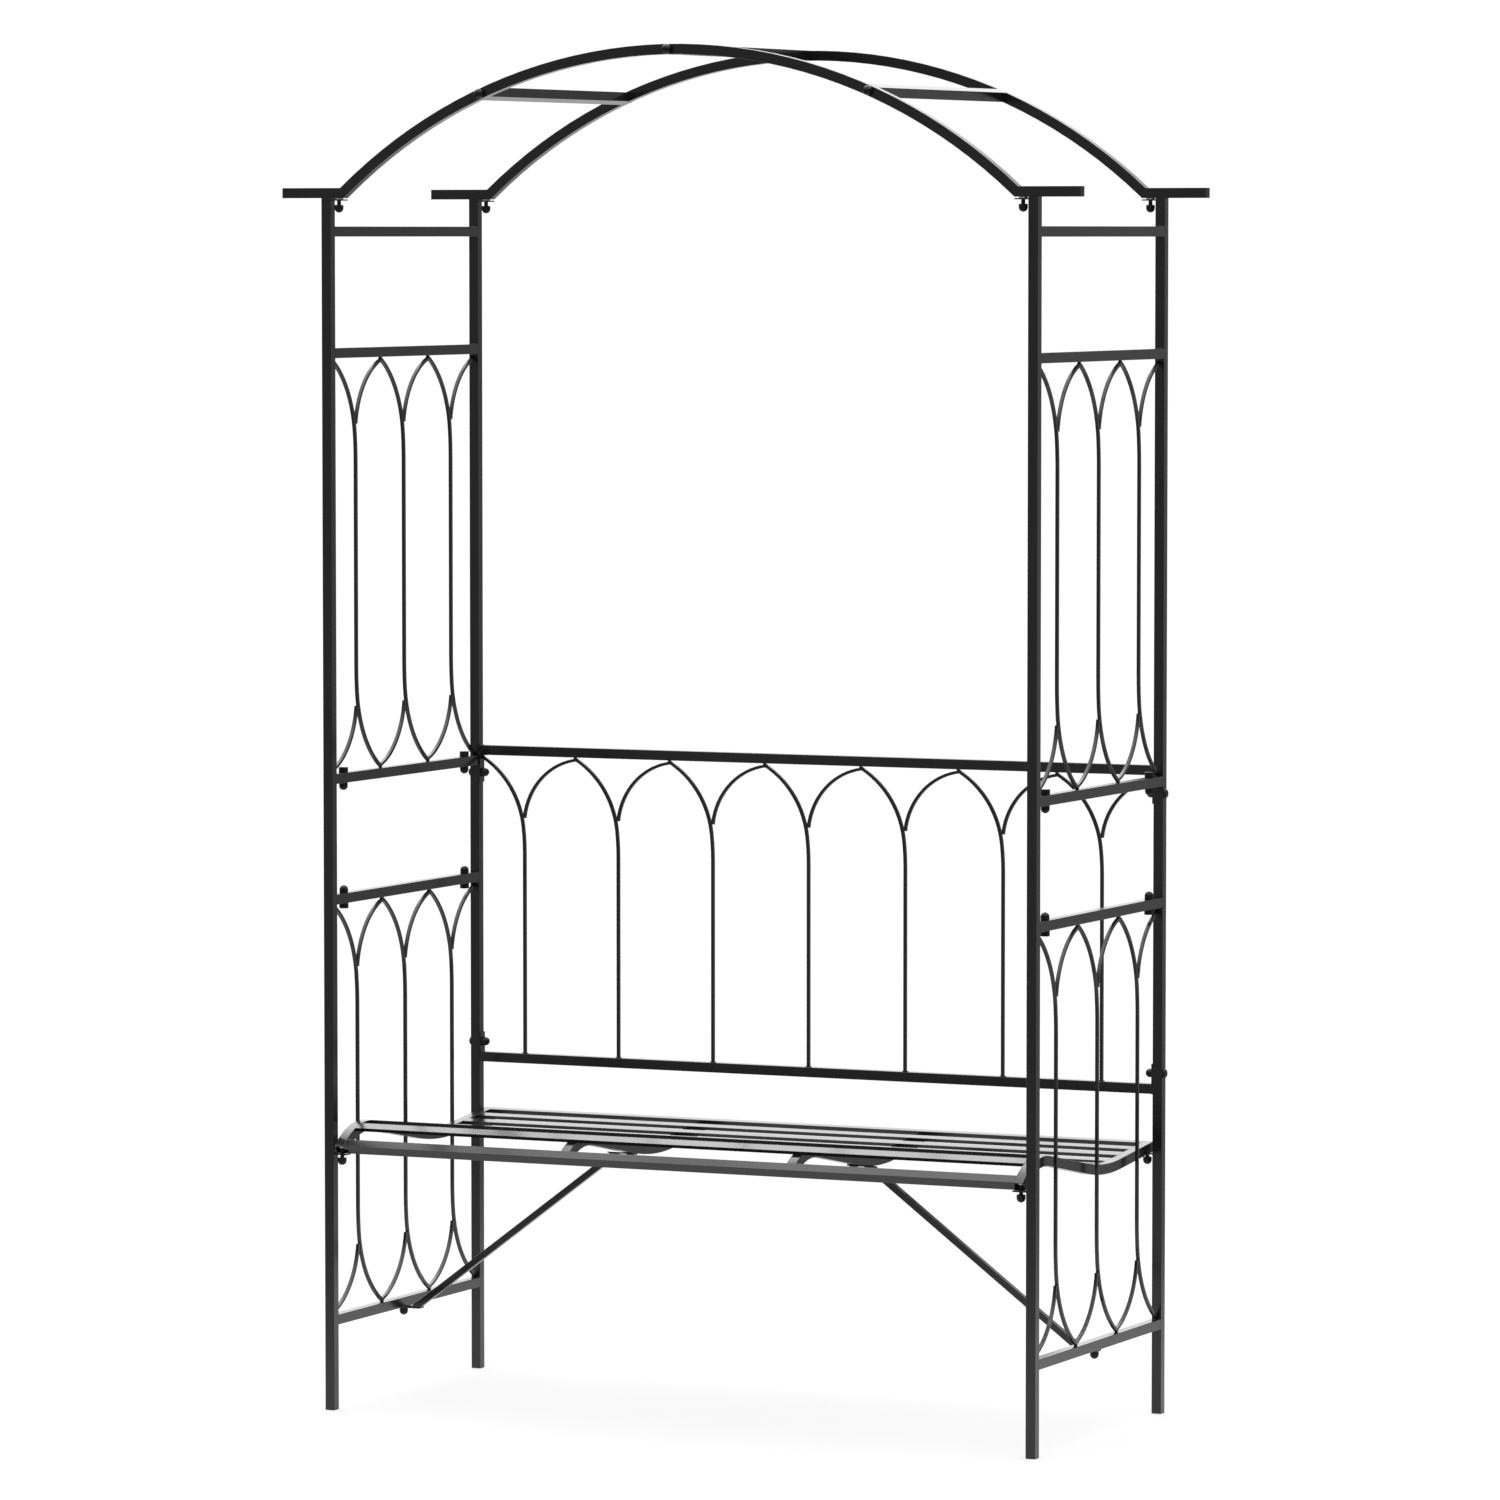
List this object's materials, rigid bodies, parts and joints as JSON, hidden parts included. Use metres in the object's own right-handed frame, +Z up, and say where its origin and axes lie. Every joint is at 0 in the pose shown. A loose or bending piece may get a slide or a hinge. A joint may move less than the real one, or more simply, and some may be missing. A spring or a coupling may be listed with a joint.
{
  "type": "garden arch with bench",
  "caption": "Garden arch in black square steel tube with curved-bar trellis sides, a slatted bench and a low backrest between them.",
  "frame": {"origin": "on the ground, midway between the four posts", "axes": "+X to the right across the walkway seen from the front, +Y from the open front to the backrest, +Z up"},
  "size_m": [1.272, 0.5184, 2.0161],
  "materials": {
    "black_powder_coat": "satin black powder coat with a fine texture",
    "black_fasteners": "semi-gloss black screws and nuts",
    "black_plastic": "matte black moulded plugs",
    "zinc_steel": "zinc-plated nuts and inserts, hidden inside the tubes"
  },
  "bodies": {
    "root": {"post_front_left": "black_powder_coat", "post_front_right": "black_powder_coat", "post_rear_left": "black_powder_coat", "post_rear_right": "black_powder_coat", "foot_plugs": "black_plastic", "arch_front": "black_powder_coat", "arch_rear": "black_powder_coat", "arch_end_plugs": "black_plastic", "arch_tabs": "black_powder_coat", "arch_screws": "black_fasteners", "arch_rivet_nuts": "zinc_steel", "crossbar_left": "black_powder_coat", "crossbar_top": "black_powder_coat", "crossbar_right": "black_powder_coat", "crossbar_inserts": "zinc_steel", "crossbar_bolts": "black_fasteners", "left_top_rail": "black_powder_coat", "left_upper_panel_top_rail": "black_powder_coat", "left_upper_panel_bottom_rail": "black_powder_coat", "left_lower_panel_top_rail": "black_powder_coat", "left_lower_panel_bottom_rail": "black_powder_coat", "right_top_rail": "black_powder_coat", "right_upper_panel_top_rail": "black_powder_coat", "right_upper_panel_bottom_rail": "black_powder_coat", "right_lower_panel_top_rail": "black_powder_coat", "right_lower_panel_bottom_rail": "black_powder_coat", "left_upper_long_bars": "black_powder_coat", "left_lower_long_bars": "black_powder_coat", "right_upper_long_bars": "black_powder_coat", "right_lower_long_bars": "black_powder_coat", "left_upper_short_arcs": "black_powder_coat", "left_lower_short_arcs": "black_powder_coat", "right_upper_short_arcs": "black_powder_coat", "right_lower_short_arcs": "black_powder_coat", "rail_tongues": "black_powder_coat", "rail_bolts": "black_fasteners", "rail_nuts": "black_fasteners", "backrest_top_rail": "black_powder_coat", "backrest_bottom_rail": "black_powder_coat", "backrest_long_bars": "black_powder_coat", "backrest_short_arcs": "black_powder_coat", "backrest_tabs": "black_powder_coat", "backrest_bolts": "black_fasteners", "backrest_dome_nuts": "black_fasteners", "seat_end_rail_left": "black_powder_coat", "seat_end_rail_right": "black_powder_coat", "seat_mid_rail_left": "black_powder_coat", "seat_mid_rail_right": "black_powder_coat", "seat_rear_rail": "black_powder_coat", "seat_front_rail": "black_powder_coat", "seat_slats": "black_powder_coat", "seat_tabs": "black_powder_coat", "seat_screws": "black_fasteners", "seat_nuts": "zinc_steel", "brace_left": "black_powder_coat", "brace_right": "black_powder_coat", "brace_tabs": "black_powder_coat", "brace_screws": "black_fasteners", "brace_nuts": "zinc_steel"}
  },
  "joints": []
}
